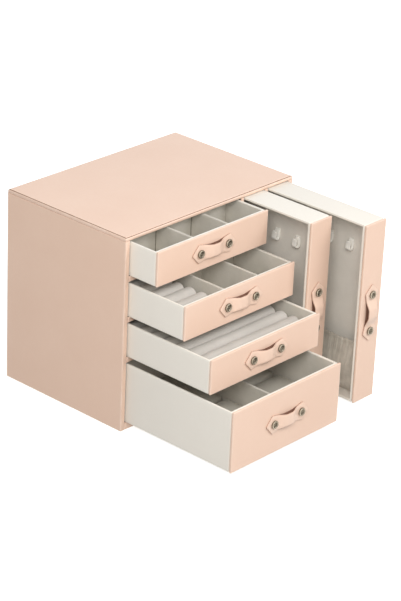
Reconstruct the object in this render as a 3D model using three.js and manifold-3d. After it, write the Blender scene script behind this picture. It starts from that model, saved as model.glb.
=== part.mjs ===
// Jewellery chest: a board cabinet with a bank of four drawers and, beside it, two tall pull-out cases.
// Millimetres, +Z up, +Y towards the back, +X to the right seen from the front.
// The origin is the centre of the cabinet's underside, and the drawers stand partly open.
import * as THREE from 'three';
import { mergeVertices } from 'three/addons/utils/BufferGeometryUtils.js';
import Module from 'manifold-3d';

const wasm = await Module();
wasm.setup();

// ---- Driving dimensions -------------------------------------------------------------------

const joint = 0.3; // gap left between pieces that are glued or that rest on each other

const cabinet = {
  width: 256,
  depth: 175,
  height: 220,
  side: 6,
  top: 4.1,
  base: 8,
  back: 5,
  shelf: 6,
  partition: 4.2,
  topLip: 1, // step round the rim of the top, where its covering sheet ends
  deepBay: 70.2, // height of the lowest bay of the bank
  tallBay: 33.9, // width of each bay for a tall pull-out case
};

const drawer = {
  sideFit: 0.8, // front panel to the bay, all round
  lip: 0.5, // front panel past the tray at each side
  rear: 7, // free room behind a closed drawer
  front: 2.4,
  wall: 2.6,
  floor: 2.6,
  rimDrop: 1, // tray rim below the top edge of its front panel
  engaged: 10, // length that stays in the bay at full travel
};

const strap = {
  rivetSpacing: 42,
  endLength: 11.2, // rivet centre to the pointed tip
  endCorner: 2.5, // rivet centre to the widest corner, outwards
  endHalf: 10.6,
  neckHalf: 6.6,
  neckReach: 4,
  thickness: 1.5,
  lift: 5,
  liftFlat: 4,
  liftReach: 16,
};

const rivet = { head: 9.2, height: 1.9, shank: 3.2, dish: 2.1, hole: 3.8 };

const insert = {
  board: 3,
  belowTop: 1, // divider tops below the front panel's top edge
  smallCell: 48, // width of each of the two open columns in the second drawer
  fit: 0.8,
  lap: 0.3,
  rollPitch: 17.1,
  rollMargin: 9, // first and last roll to the wall beside them
  rollBelowTop: 6.8,
  rollEnd: 8.5, // roll end to the wall
  rollBase: 7,
  deepDividerBelowTop: 16,
  cushion: 27.5,
  cushionGap: 2.4,
  cushionRound: 5,
};

const hook = { first: 35.5, pitch: 28.5, belowTop: 34.5, height: 13, width: 6.6, wire: 1.6, bend: 1.9, tip: 7.5 };
const hookCount = 3;

const pocket = { height: 60, sheet: 1.4, topReach: 13, bottomReach: 18, seam: 3 };

// How far each drawer stands open, as a share of its full travel, from the top down and left to right.
const openShare = { bank: [0.25, 0.513, 0.762, 0.975], tall: [0.611, 0.886] };

// ---- Sizes that follow from them ----------------------------------------------------------

const frontPlane = -cabinet.depth / 2;
const drawerLength = cabinet.depth - cabinet.back - drawer.rear;
const travel = drawerLength - drawer.engaged;
const innerWidth = cabinet.width - 2 * cabinet.side;
const bankWidth = innerWidth - 2 * (cabinet.partition + cabinet.tallBay);
const bankLeft = -cabinet.width / 2 + cabinet.side;
const bayTop = cabinet.height - cabinet.top;
const bayHeight = bayTop - cabinet.base;
const smallBay = (bayHeight - cabinet.deepBay - 3 * cabinet.shelf) / 3;
const boxDepth = drawerLength - drawer.front - joint;
const boxInnerLength = boxDepth - 2 * drawer.wall;
const panelWidth = bankWidth - 2 * drawer.sideFit;
const trayWidth = panelWidth - 2 * drawer.lip;
const trayInnerWidth = trayWidth - 2 * drawer.wall;
const boxStart = drawer.front + joint;
const innerStart = boxStart + drawer.wall;
const casePanelWidth = cabinet.tallBay - 2 * drawer.sideFit;
const caseWidth = casePanelWidth - 2 * drawer.lip;
const caseHeight = bayHeight - 2 * drawer.sideFit;

// ---- Materials ----------------------------------------------------------------------------

function finish(name, colour, roughness, metalness) {
  const material = new THREE.MeshStandardMaterial({ color: colour, roughness, metalness });
  material.name = name;
  return material;
}

const pinkLeather = finish('pink_leather', 0xf3d3c1, 0.55, 0);
const ivoryLining = finish('ivory_lining', 0xe9e2d8, 0.7, 0);
const greyVelvet = finish('grey_velvet', 0xb9b3aa, 0.95, 0);
const satinMetal = finish('satin_metal', 0x8d8578, 0.35, 1);
const ivoryPlastic = finish('ivory_plastic', 0xd9d5cc, 0.45, 0);

// ---- Solid helpers ------------------------------------------------------------------------

function toSolid(geometry) {
  const bare = geometry.index ? geometry.toNonIndexed() : geometry.clone();
  bare.deleteAttribute('normal');
  bare.deleteAttribute('uv');
  const merged = mergeVertices(bare, 1e-4);
  return new wasm.Manifold(
    new wasm.Mesh({
      numProp: 3,
      vertProperties: new Float32Array(merged.attributes.position.array),
      triVerts: new Uint32Array(merged.index.array),
    }),
  );
}

function toGeometry(solid) {
  const mesh = solid.getMesh();
  const geometry = new THREE.BufferGeometry();
  geometry.setAttribute('position', new THREE.BufferAttribute(mesh.vertProperties, mesh.numProp));
  geometry.setIndex(new THREE.BufferAttribute(mesh.triVerts, 1));
  geometry.computeVertexNormals();
  return geometry;
}

// A block between two opposite corners, with its place kept in the geometry.
function block(low, high) {
  const size = high.map((value, axis) => value - low[axis]);
  const geometry = new THREE.BoxGeometry(...size);
  geometry.translate(...low.map((value, axis) => value + size[axis] / 2));
  return geometry;
}

function cut(geometry, ...tools) {
  const solid = tools.reduce((rest, tool) => rest.subtract(toSolid(tool)), toSolid(geometry));
  return toGeometry(solid);
}

function join(geometry, ...others) {
  const solid = others.reduce((rest, other) => rest.add(toSolid(other)), toSolid(geometry));
  return toGeometry(solid);
}

// An outline drawn in the X-Z plane, made solid from the front face back along +Y.
function plateXZ(shape, thickness, curveSegments = 8) {
  const geometry = new THREE.ExtrudeGeometry(shape, { depth: thickness, bevelEnabled: false, curveSegments });
  geometry.rotateX(Math.PI / 2);
  geometry.translate(0, thickness, 0);
  return geometry;
}

// An outline drawn in the Y-Z plane, made solid along +X from x = 0.
function plateYZ(shape, length, curveSegments = 8) {
  const geometry = new THREE.ExtrudeGeometry(shape, { depth: length, bevelEnabled: false, curveSegments });
  geometry.rotateX(Math.PI / 2);
  geometry.rotateZ(Math.PI / 2);
  return geometry;
}

function rectangle(left, bottom, right, top) {
  const shape = new THREE.Shape();
  shape.moveTo(left, bottom);
  shape.lineTo(right, bottom);
  shape.lineTo(right, top);
  shape.lineTo(left, top);
  shape.closePath();
  return shape;
}

function piece(name, geometry, material, place = [0, 0, 0]) {
  const mesh = new THREE.Mesh(geometry, material);
  mesh.name = name;
  mesh.position.set(...place);
  return mesh;
}

// A board between two opposite corners, placed by its centre.
function board(name, material, low, high) {
  const size = high.map((value, axis) => value - low[axis]);
  const centre = low.map((value, axis) => value + size[axis] / 2);
  return piece(name, new THREE.BoxGeometry(...size), material, centre);
}

// ---- Cabinet ------------------------------------------------------------------------------

function topPanel() {
  const halfWidth = cabinet.width / 2;
  const halfDepth = cabinet.depth / 2;
  const lip = cabinet.topLip;
  const lower = block([-halfWidth, -halfDepth, 0], [halfWidth, halfDepth, cabinet.top - lip - joint]);
  const upper = block(
    [lip - halfWidth, lip - halfDepth, cabinet.top - 2 * lip - joint],
    [halfWidth - lip, halfDepth - lip, cabinet.top - joint],
  );
  return piece('top_panel', join(lower, upper), pinkLeather, [0, 0, bayTop + joint]);
}

function cabinetBoards() {
  const outer = cabinet.width / 2;
  const inner = outer - cabinet.side;
  const back = cabinet.depth / 2;
  const backInner = back - cabinet.back;
  const boards = [
    board('left_side', pinkLeather, [-outer, frontPlane, 0], [-inner, back, bayTop]),
    board('right_side', pinkLeather, [inner, frontPlane, 0], [outer, back, bayTop]),
    board(
      'base_panel',
      pinkLeather,
      [joint - inner, frontPlane, 0],
      [inner - joint, backInner - joint, cabinet.base],
    ),
    board('back_panel', pinkLeather, [joint - inner, backInner, 0], [inner - joint, back, bayTop - joint]),
  ];
  const partitions = ['main_partition', 'tall_partition'];
  partitions.forEach((name, index) => {
    const left = bankLeft + bankWidth + index * (cabinet.partition + cabinet.tallBay);
    boards.push(
      board(
        name,
        pinkLeather,
        [left, frontPlane, cabinet.base + joint],
        [left + cabinet.partition, backInner - joint, bayTop - joint],
      ),
    );
  });
  for (let level = 0; level < 3; level += 1) {
    const upperFace = bayTop - (level + 1) * smallBay - level * cabinet.shelf;
    boards.push(
      board(
        `shelf_${level + 1}`,
        pinkLeather,
        [bankLeft + joint, frontPlane, upperFace - cabinet.shelf],
        [bankLeft + bankWidth - joint, backInner - joint, upperFace],
      ),
    );
  }
  return boards;
}

// ---- Fronts, straps and rivets ------------------------------------------------------------
// These are drawn lying along X about their own centre, with y = 0 on the outer face of the front.

function rivetHoles(shape, alongX) {
  for (const side of [-1, 1]) {
    const offset = (side * strap.rivetSpacing) / 2;
    const hole = new THREE.Path();
    hole.absarc(alongX ? offset : 0, alongX ? 0 : offset, rivet.hole / 2, 0, 2 * Math.PI, true);
    shape.holes.push(hole);
  }
}

function frontPanel(name, width, height, alongX) {
  const shape = rectangle(-width / 2, -height / 2, width / 2, height / 2);
  rivetHoles(shape, alongX);
  return piece(name, plateXZ(shape, drawer.front, 6), pinkLeather);
}

function strapOutline() {
  const rivetAt = strap.rivetSpacing / 2;
  const corner = rivetAt + strap.endCorner;
  const tip = rivetAt + strap.endLength;
  const shape = new THREE.Shape();
  shape.moveTo(tip, 0);
  shape.lineTo(corner, strap.endHalf);
  shape.quadraticCurveTo(strap.neckReach + 4, strap.neckHalf, strap.neckReach, strap.neckHalf);
  shape.lineTo(-strap.neckReach, strap.neckHalf);
  shape.quadraticCurveTo(-strap.neckReach - 4, strap.neckHalf, -corner, strap.endHalf);
  shape.lineTo(-tip, 0);
  shape.lineTo(-corner, -strap.endHalf);
  shape.quadraticCurveTo(-strap.neckReach - 4, -strap.neckHalf, -strap.neckReach, -strap.neckHalf);
  shape.lineTo(strap.neckReach, -strap.neckHalf);
  shape.quadraticCurveTo(strap.neckReach + 4, -strap.neckHalf, corner, -strap.endHalf);
  shape.closePath();
  rivetHoles(shape, true);
  return shape;
}

function strapLift(x) {
  const run = THREE.MathUtils.clamp((strap.liftReach - Math.abs(x)) / (strap.liftReach - strap.liftFlat), 0, 1);
  return (strap.lift * (1 - Math.cos(Math.PI * run))) / 2;
}

// The strap seen from above: flat at both ends, and arched off the front in the middle.
function strapProfile() {
  const reach = strap.rivetSpacing / 2 + strap.endLength + 1;
  const stations = [-reach];
  for (let x = -strap.liftReach; x <= strap.liftReach; x += 2) stations.push(x);
  stations.push(reach);
  const shape = new THREE.Shape();
  shape.moveTo(stations[0], -joint - strapLift(stations[0]));
  stations.slice(1).forEach((x) => shape.lineTo(x, -joint - strapLift(x)));
  stations.reverse().forEach((x) => shape.lineTo(x, -joint - strap.thickness - strapLift(x)));
  shape.closePath();
  return shape;
}

function strapGeometry() {
  const tall = 4 * strap.endHalf;
  const arch = new THREE.ExtrudeGeometry(strapProfile(), { depth: tall, bevelEnabled: false });
  arch.translate(0, 0, -tall / 2);
  const deep = 4 * strap.lift;
  const outline = plateXZ(strapOutline(), deep, 6);
  outline.translate(0, -deep, 0);
  return toGeometry(toSolid(arch).intersect(toSolid(outline)));
}

function rivetGeometry() {
  const head = rivet.head / 2;
  const shank = rivet.shank / 2;
  const length = strap.thickness + joint + drawer.front;
  const profile = [
    [0, -length],
    [shank, -length],
    [shank, joint],
    [head, joint],
    [head, joint + 0.5 * rivet.height],
    [head * 0.8, joint + rivet.height],
    [rivet.dish, joint + rivet.height],
    [rivet.dish * 0.8, joint + 0.6 * rivet.height],
    [0, joint + 0.6 * rivet.height],
  ];
  const geometry = new THREE.LatheGeometry(profile.map(([x, y]) => new THREE.Vector2(x, y)), 16);
  geometry.rotateX(Math.PI);
  return geometry;
}

function handle(label, ends, alongX) {
  const group = new THREE.Group();
  group.add(piece(`strap_${label}`, strapGeometry(), pinkLeather));
  ends.forEach((end, index) => {
    const x = ((index === 0 ? -1 : 1) * strap.rivetSpacing) / 2;
    group.add(piece(`rivet_${label}_${end}`, rivetGeometry(), satinMetal, [x, -joint - strap.thickness, 0]));
  });
  group.rotation.y = alongX ? 0 : Math.PI / 2;
  return group;
}

// ---- Trays and their inserts --------------------------------------------------------------
// Drawer frames: x = 0 in the middle, y = 0 on the front's outer face, z = 0 under the drawer.

function trayGeometry(height) {
  const half = trayWidth / 2;
  const wall = drawer.wall;
  const outer = block([-half, boxStart, 0], [half, boxStart + boxDepth, height]);
  const hollow = block(
    [wall - half, boxStart + wall, drawer.floor],
    [half - wall, boxStart + boxDepth - wall, height + 1],
  );
  return cut(outer, hollow);
}

function gridInsert(height) {
  const halfWidth = trayInnerWidth / 2 - insert.fit;
  const start = innerStart + insert.fit;
  const end = innerStart + boxInnerLength - insert.fit;
  const low = drawer.floor + joint;
  const high = height - insert.belowTop;
  const half = insert.board / 2;
  const boards = [];
  for (const side of [-1, 1]) {
    const x = (side * trayInnerWidth) / 6;
    const y = (start + end) / 2 + (side * boxInnerLength) / 6;
    boards.push(block([x - half, start, low], [x + half, end, high]));
    boards.push(block([-halfWidth, y - half, low], [halfWidth, y + half, high]));
  }
  return piece('divider_grid_1', join(...boards), greyVelvet);
}

// The second drawer: a wide column for the ring rolls and two open columns, parted in the middle.
function secondDrawerColumns() {
  const right = trayInnerWidth / 2;
  const secondBoard = right - insert.smallCell - insert.board;
  const firstBoard = secondBoard - insert.smallCell - insert.board;
  return { right, secondBoard, firstBoard };
}

function secondDrawerDividers(height) {
  const { right, secondBoard, firstBoard } = secondDrawerColumns();
  const start = innerStart + insert.fit;
  const end = innerStart + boxInnerLength - insert.fit;
  const low = drawer.floor + joint;
  const high = height - insert.belowTop;
  const middle = (start + end) / 2;
  const half = insert.board / 2;
  const lapHeight = (low + high) / 2;
  const left = block([firstBoard, start, low], [firstBoard + insert.board, end, high]);
  const slot = insert.lap + half;
  const notched = cut(
    block([secondBoard, start, low], [secondBoard + insert.board, end, high]),
    block([secondBoard - 1, middle - slot, lapHeight], [secondBoard + insert.board + 1, middle + slot, high + 1]),
  );
  const crossing = cut(
    block([firstBoard + insert.board + joint, middle - half, low], [right - insert.fit, middle + half, high]),
    block(
      [secondBoard - insert.lap, middle - half - 1, low - 1],
      [secondBoard + insert.board + insert.lap, middle + half + 1, lapHeight + insert.lap],
    ),
  );
  return [
    piece('divider_2_left', left, greyVelvet),
    piece('divider_2_right', notched, greyVelvet),
    piece('divider_2_cross', crossing, greyVelvet),
  ];
}

// A foam pad whose top is a row of half-round rolls running from side to side.
function ringRollPad(name, left, right, height) {
  const front = innerStart + insert.fit;
  const back = innerStart + boxInnerLength - insert.fit;
  const start = innerStart + insert.rollMargin;
  const end = innerStart + boxInnerLength - insert.rollMargin;
  const count = Math.round((end - start) / insert.rollPitch);
  const pitch = (end - start) / count;
  const radius = pitch / 2;
  const baseTop = drawer.floor + insert.rollBase;
  const springLine = height - insert.rollBelowTop - radius;
  const shape = new THREE.Shape();
  shape.moveTo(start, baseTop - 1);
  shape.lineTo(end, baseTop - 1);
  shape.lineTo(end, springLine);
  for (let index = count - 1; index >= 0; index -= 1) {
    shape.absarc(start + (index + 0.5) * pitch, springLine, radius, 0, Math.PI, false);
  }
  shape.closePath();
  const rolls = plateYZ(shape, right - left - 2 * insert.rollEnd, 5);
  rolls.translate(left + insert.rollEnd, 0, 0);
  const base = block([left + insert.fit, front, drawer.floor + joint], [right - insert.fit, back, baseTop]);
  return piece(name, join(base, rolls), greyVelvet);
}

function deepDivider(height) {
  const half = insert.board / 2;
  return board(
    'divider_4',
    greyVelvet,
    [-half, innerStart + insert.fit, drawer.floor + joint],
    [half, innerStart + boxInnerLength - insert.fit, height - insert.deepDividerBelowTop],
  );
}

function cushionGeometry(width, length) {
  const round = insert.cushionRound;
  const shape = new THREE.Shape();
  const halfWidth = width / 2 - round;
  const halfLength = length / 2 - round;
  shape.absarc(halfWidth, halfLength, round, 0, Math.PI / 2, false);
  shape.absarc(-halfWidth, halfLength, round, Math.PI / 2, Math.PI, false);
  shape.absarc(-halfWidth, -halfLength, round, Math.PI, 1.5 * Math.PI, false);
  shape.absarc(halfWidth, -halfLength, round, 1.5 * Math.PI, 2 * Math.PI, false);
  return new THREE.ExtrudeGeometry(shape, { depth: insert.cushion, bevelEnabled: false, curveSegments: 3 });
}

function cushions() {
  const columnWidth = (trayInnerWidth - insert.board) / 2;
  const width = columnWidth - 2 * insert.fit;
  const length = (boxInnerLength - insert.cushionGap) / 2 - insert.fit;
  const middle = innerStart + boxInnerLength / 2;
  const pads = [];
  for (const [row, rowSide] of [['front', -1], ['rear', 1]]) {
    for (const [column, columnSide] of [['left', -1], ['right', 1]]) {
      const x = (columnSide * (insert.board + columnWidth)) / 2;
      const y = middle + (rowSide * (insert.cushionGap + length)) / 2;
      const place = [x, y, drawer.floor + joint];
      pads.push(piece(`cushion_4_${row}_${column}`, cushionGeometry(width, length), greyVelvet, place));
    }
  }
  return pads;
}

function inserts(level, height) {
  const half = trayInnerWidth / 2;
  if (level === 1) return [gridInsert(height)];
  if (level === 2) {
    const { firstBoard } = secondDrawerColumns();
    return [...secondDrawerDividers(height), ringRollPad('ring_rolls_2', -half, firstBoard, height)];
  }
  if (level === 3) return [ringRollPad('ring_rolls_3', -half, half, height)];
  return [deepDivider(height), ...cushions()];
}

function bankDrawer(level) {
  const bay = level === 4 ? cabinet.deepBay : smallBay;
  const height = bay - 2 * drawer.sideFit;
  const above = level === 4 ? 0 : cabinet.deepBay + (3 - level) * smallBay + (4 - level) * cabinet.shelf;
  const group = new THREE.Group();
  const face = new THREE.Group();
  face.position.set(0, 0, height / 2);
  face.add(frontPanel(`front_${level}`, panelWidth, height, true));
  face.add(handle(String(level), ['left', 'right'], true));
  group.add(piece(`tray_${level}`, trayGeometry(height - drawer.rimDrop), ivoryLining), face, ...inserts(level, height));
  group.position.set(
    bankLeft + bankWidth / 2,
    frontPlane - openShare.bank[level - 1] * travel,
    cabinet.base + above + drawer.sideFit,
  );
  return group;
}

// ---- Tall pull-out cases ------------------------------------------------------------------
// Each is a box open on its left side, with hooks on its right panel and a pocket at its foot.

function caseGeometry() {
  const half = caseWidth / 2;
  const wall = drawer.wall;
  const outer = block([-half, boxStart, 0], [half, boxStart + boxDepth, caseHeight]);
  const hollow = block(
    [-half - 1, boxStart + wall, wall],
    [half - wall, boxStart + boxDepth - wall, caseHeight - wall],
  );
  return cut(outer, hollow);
}

// A J in the X-Z plane: a back bar on the panel, a half-round bend under it, and a short raised tip.
function hookGeometry() {
  const { height, wire, bend, tip, width } = hook;
  const shape = new THREE.Shape();
  shape.moveTo(0, height);
  shape.lineTo(-wire, height);
  shape.lineTo(-wire, bend + wire);
  shape.absarc(-wire - bend, bend + wire, bend, 0, -Math.PI, true);
  shape.lineTo(-wire - 2 * bend, bend + wire + tip);
  shape.lineTo(-2 * wire - 2 * bend, bend + wire + tip);
  shape.lineTo(-2 * wire - 2 * bend, bend + wire);
  shape.absarc(-wire - bend, bend + wire, bend + wire, Math.PI, 2 * Math.PI, false);
  shape.closePath();
  const geometry = plateXZ(shape, width, 5);
  geometry.translate(0, -width / 2, 0);
  return geometry;
}

// The pocket's sheet: its foot is on the case's floor and its face leans towards the panel as it rises.
function pocketGeometry() {
  const { height, sheet, topReach, bottomReach, seam } = pocket;
  const foot = drawer.wall + joint;
  const shape = new THREE.Shape();
  shape.moveTo(-joint, foot);
  shape.lineTo(-bottomReach + seam, foot);
  shape.quadraticCurveTo(-bottomReach - seam, foot, -bottomReach, foot + 3 * seam);
  shape.lineTo(-topReach, foot + height);
  shape.lineTo(-topReach + sheet, foot + height);
  shape.lineTo(-bottomReach + sheet, foot + 3 * seam);
  shape.quadraticCurveTo(-bottomReach + seam - sheet, foot + sheet, -bottomReach + 2 * seam, foot + sheet);
  shape.lineTo(-joint, foot + sheet);
  shape.closePath();
  return plateXZ(shape, boxInnerLength - 2 * joint, 5);
}

function tallDrawer(index) {
  const group = new THREE.Group();
  const face = new THREE.Group();
  const label = `tall_${index}`;
  const panel = caseWidth / 2 - drawer.wall;
  face.position.set(0, 0, caseHeight / 2);
  face.add(frontPanel(`front_${label}`, casePanelWidth, caseHeight, false));
  face.add(handle(label, ['upper', 'lower'], false));
  group.add(face, piece(`case_${label}`, caseGeometry(), ivoryLining));
  for (let order = 0; order < hookCount; order += 1) {
    const y = innerStart + hook.first + order * hook.pitch;
    const z = caseHeight - hook.belowTop - hook.height;
    group.add(piece(`hook_${label}_${order + 1}`, hookGeometry(), ivoryPlastic, [panel - joint, y, z]));
  }
  group.add(piece(`pocket_${label}`, pocketGeometry(), greyVelvet, [panel, innerStart + joint, 0]));
  group.position.set(
    bankLeft + bankWidth + index * cabinet.partition + (index - 0.5) * cabinet.tallBay,
    frontPlane - openShare.tall[index - 1] * travel,
    cabinet.base + drawer.sideFit,
  );
  return group;
}

// ---- The chest ----------------------------------------------------------------------------

const chest = new THREE.Group();
chest.add(topPanel(), ...cabinetBoards());
for (let level = 1; level <= 4; level += 1) chest.add(bankDrawer(level));
for (let index = 1; index <= 2; index += 1) chest.add(tallDrawer(index));

export default chest;
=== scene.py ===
"""Looks of the jewellery chest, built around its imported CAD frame.

Metres, +Z up, -Y out of the drawers, +X towards the tall cases. The CAD boxes give every place and
outer size. The values below are thicknesses, roundings and surface detail.
"""
import math

import bmesh
import bpy
import numpy as np
from mathutils import Matrix, Vector


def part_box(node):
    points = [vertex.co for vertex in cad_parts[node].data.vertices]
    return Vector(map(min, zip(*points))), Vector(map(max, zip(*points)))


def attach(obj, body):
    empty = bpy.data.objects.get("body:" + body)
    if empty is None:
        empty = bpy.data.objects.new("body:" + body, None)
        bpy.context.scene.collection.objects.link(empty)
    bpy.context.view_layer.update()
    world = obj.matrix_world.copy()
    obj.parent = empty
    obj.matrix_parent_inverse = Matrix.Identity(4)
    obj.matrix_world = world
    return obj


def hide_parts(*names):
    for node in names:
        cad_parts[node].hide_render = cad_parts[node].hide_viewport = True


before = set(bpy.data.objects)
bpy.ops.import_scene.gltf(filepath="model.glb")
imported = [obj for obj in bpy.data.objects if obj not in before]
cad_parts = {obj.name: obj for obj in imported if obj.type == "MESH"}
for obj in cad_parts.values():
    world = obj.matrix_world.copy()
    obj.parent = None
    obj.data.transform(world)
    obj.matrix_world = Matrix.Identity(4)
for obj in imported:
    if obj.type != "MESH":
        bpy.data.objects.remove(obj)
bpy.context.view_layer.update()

MM = 0.001
SMALL_DRAWERS = (1, 2, 3, 4)
TALL_CASES = (1, 2)

# ---- Camera ---------------------------------------------------------------------------------

VIEW_AZIMUTH = math.radians(-48.12)
VIEW_ELEVATION = math.radians(25.05)
VIEW_ROLL = math.radians(2.6)
VIEW_DISTANCE = 2.517
VIEW_AIM = Vector((0.0358, -0.0445, 0.0850))
VIEW_LENS_MM = 138.6
VIEW_SENSOR_MM = 36


def add_camera():
    cos_elevation = math.cos(VIEW_ELEVATION)
    back = Vector((
        math.sin(VIEW_AZIMUTH) * cos_elevation,
        -math.cos(VIEW_AZIMUTH) * cos_elevation,
        math.sin(VIEW_ELEVATION),
    ))
    data = bpy.data.cameras.new("camera")
    data.sensor_width = VIEW_SENSOR_MM
    data.lens = VIEW_LENS_MM
    data.clip_start = 0.05
    data.clip_end = 50
    camera = bpy.data.objects.new("camera", data)
    bpy.context.collection.objects.link(camera)
    camera.location = VIEW_AIM + back * VIEW_DISTANCE
    level = (-back).to_track_quat("-Z", "Y").to_matrix()
    camera.rotation_mode = "QUATERNION"
    camera.rotation_quaternion = (level @ Matrix.Rotation(VIEW_ROLL, 3, "Z")).to_quaternion()
    bpy.context.scene.camera = camera


# ---- Node materials -------------------------------------------------------------------------


class Nodes:
    """A small helper for building one material's node tree. Noise scales are cells per metre."""

    def __init__(self, name):
        self.material = bpy.data.materials.new(name)
        self.material.use_nodes = True
        self.tree = self.material.node_tree
        self.shader = self.tree.nodes["Principled BSDF"]
        self.place = self.tree.nodes.new("ShaderNodeTexCoord").outputs["Object"]

    def add(self, kind, inputs=None, **settings):
        node = self.tree.nodes.new(kind)
        for key, value in settings.items():
            setattr(node, key, value)
        for key, value in (inputs or {}).items():
            self.put(value, node.inputs[key])
        return node

    def put(self, value, socket):
        if isinstance(value, bpy.types.NodeSocket):
            self.tree.links.new(value, socket)
        else:
            socket.default_value = value

    def noise(self, scale, detail=3.0, roughness=0.55):
        inputs = {"Vector": self.place, "Scale": scale, "Detail": detail, "Roughness": roughness}
        return self.add("ShaderNodeTexNoise", inputs).outputs["Fac"]

    def cells(self, scale):
        inputs = {"Vector": self.place, "Scale": scale}
        node = self.add("ShaderNodeTexVoronoi", inputs, feature="SMOOTH_F1")
        return node.outputs["Distance"]

    def threads(self, scale, across):
        inputs = {"Vector": self.place, "Scale": scale, "Distortion": 0.6}
        return self.add("ShaderNodeTexWave", inputs, bands_direction=across).outputs["Fac"]

    def remap(self, value, low, high, to_low, to_high):
        inputs = {0: value, 1: low, 2: high, 3: to_low, 4: to_high}
        return self.add("ShaderNodeMapRange", inputs).outputs[0]

    def math(self, operation, a, b):
        return self.add("ShaderNodeMath", {0: a, 1: b}, operation=operation).outputs[0]

    def mix(self, factor, a, b):
        node = self.add("ShaderNodeMix", data_type="RGBA")
        self.put(factor, node.inputs["Factor"])
        self.put(a, node.inputs["A"])
        self.put(b, node.inputs["B"])
        return node.outputs["Result"]

    def bump(self, height, distance, strength=1.0, under=None):
        inputs = {"Height": height, "Distance": distance, "Strength": strength}
        node = self.add("ShaderNodeBump", inputs)
        if under is not None:
            self.put(under, node.inputs["Normal"])
        return node.outputs["Normal"]

    def attribute(self, name):
        return self.add("ShaderNodeAttribute", attribute_name=name).outputs["Fac"]

    def shade(self, **inputs):
        for key, value in inputs.items():
            self.put(value, self.shader.inputs[key.replace("_", " ")])
        return self.material


def colour(red, green, blue):
    return (red, green, blue, 1.0)


def coated_leather(name, base, worn_and_lit, shadow, grain, roughness):
    """Coated leather or covering paper: pebble grain, cloudy colour, and edges painted lighter,
    partly rubbed wear and partly a painted highlight where the rounded edges catch the light.
    """
    n = Nodes(name)
    cloud = n.remap(n.noise(14, 4), 0.3, 0.7, 0, 1)
    fine = n.remap(n.noise(240, 3), 0.35, 0.65, 0, 1)
    tone = n.mix(cloud, base, shadow)
    tone = n.mix(n.math("MULTIPLY", fine, 0.35), tone, shadow)
    # Edges painted lighter: partly rubbed wear, partly a painted highlight on the rounded edges.
    rub_and_highlight = n.math("MULTIPLY", n.attribute("edge"), n.remap(n.noise(90, 4), 0.35, 0.7, 0.25, 1))
    tone = n.mix(n.math("MULTIPLY", rub_and_highlight, 0.7), tone, worn_and_lit)
    pebbles = n.cells(grain)
    creases = n.noise(grain * 0.45, 4, 0.6)
    relief = n.math("ADD", pebbles, n.math("MULTIPLY", creases, 0.8))
    waves = n.bump(n.noise(22, 2), 0.5 * MM, 0.25)
    rough = n.remap(n.noise(grain * 0.2, 3), 0.3, 0.7, roughness - 0.05, roughness + 0.07)
    rough = n.math("SUBTRACT", rough, n.math("MULTIPLY", rub_and_highlight, 0.1))
    return n.shade(
        Base_Color=tone,
        Roughness=rough,
        Normal=n.bump(relief, 0.09 * MM, 0.5, waves),
        Specular_IOR_Level=0.42,
        Coat_Weight=0.08,
        Coat_Roughness=0.35,
    )


def velvet(name, base, deep, pile=1900):
    """Short-pile velvet: fibre noise, brushed patches and a soft sheen."""
    n = Nodes(name)
    fibre = n.noise(pile, 2, 0.7)
    brushed = n.remap(n.noise(38, 4, 0.6), 0.32, 0.68, 0, 1)
    tone = n.mix(n.math("MULTIPLY", brushed, 0.55), base, deep)
    tone = n.mix(n.math("MULTIPLY", n.remap(fibre, 0.3, 0.7, 0, 1), 0.35), tone, deep)
    relief = n.math("ADD", fibre, n.math("MULTIPLY", n.noise(pile * 0.3, 3), 0.6))
    return n.shade(
        Base_Color=tone,
        Roughness=n.remap(brushed, 0, 1, 0.82, 0.95),
        Normal=n.bump(relief, 0.16 * MM, 0.55),
        Specular_IOR_Level=0.2,
        Sheen_Weight=0.3,
        Sheen_Roughness=0.45,
        Sheen_Tint=base,
    )


def gathered_cloth(name, base, deep):
    """Thin woven lining cloth with a fine crossing weave."""
    n = Nodes(name)
    threads = n.math("MULTIPLY", n.threads(640.0, "Z"), n.threads(640.0, "Y"))
    cloud = n.remap(n.noise(60, 3), 0.3, 0.7, 0, 1)
    tone = n.mix(n.math("MULTIPLY", cloud, 0.6), base, deep)
    tone = n.mix(n.math("MULTIPLY", threads, 0.2), tone, deep)
    return n.shade(
        Base_Color=tone,
        Roughness=n.remap(threads, 0, 1, 0.7, 0.85),
        Normal=n.bump(threads, 0.08 * MM, 0.5),
        Specular_IOR_Level=0.3,
        Sheen_Weight=0.25,
        Sheen_Roughness=0.4,
    )


def satin_metal(name, base, dark):
    """Plated rivet metal with fine scratches. The dish is painted dark as painted shade, and the rim
    and raised centre are painted lighter, partly rubbed plating and partly a painted highlight.
    """
    n = Nodes(name)
    scratches = n.noise(2600, 2, 0.7)
    patches = n.remap(n.noise(500, 3), 0.3, 0.7, 0, 1)
    rub_and_highlight = n.attribute("edge")
    tone = n.mix(n.math("MULTIPLY", patches, 0.5), dark, base)
    # Rim and raised centre painted lighter (rubbed plating and painted highlight); the dish stays
    # dark as painted shade.
    tone = n.mix(rub_and_highlight, tone, base)
    return n.shade(
        Base_Color=tone,
        Metallic=1.0,
        Roughness=n.remap(scratches, 0.3, 0.7, 0.34, 0.5),
        Normal=n.bump(scratches, 0.03 * MM, 0.4),
    )


def moulded_plastic(name, base, deep):
    """Smooth moulded plastic, a little cloudy, with a fine satin surface."""
    n = Nodes(name)
    cloud = n.remap(n.noise(300, 3), 0.3, 0.7, 0, 1)
    return n.shade(
        Base_Color=n.mix(n.math("MULTIPLY", cloud, 0.5), base, deep),
        Roughness=n.remap(n.noise(900, 2), 0.3, 0.7, 0.3, 0.42),
        Normal=n.bump(n.noise(1500, 2), 0.03 * MM, 0.3),
        Specular_IOR_Level=0.5,
    )


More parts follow.
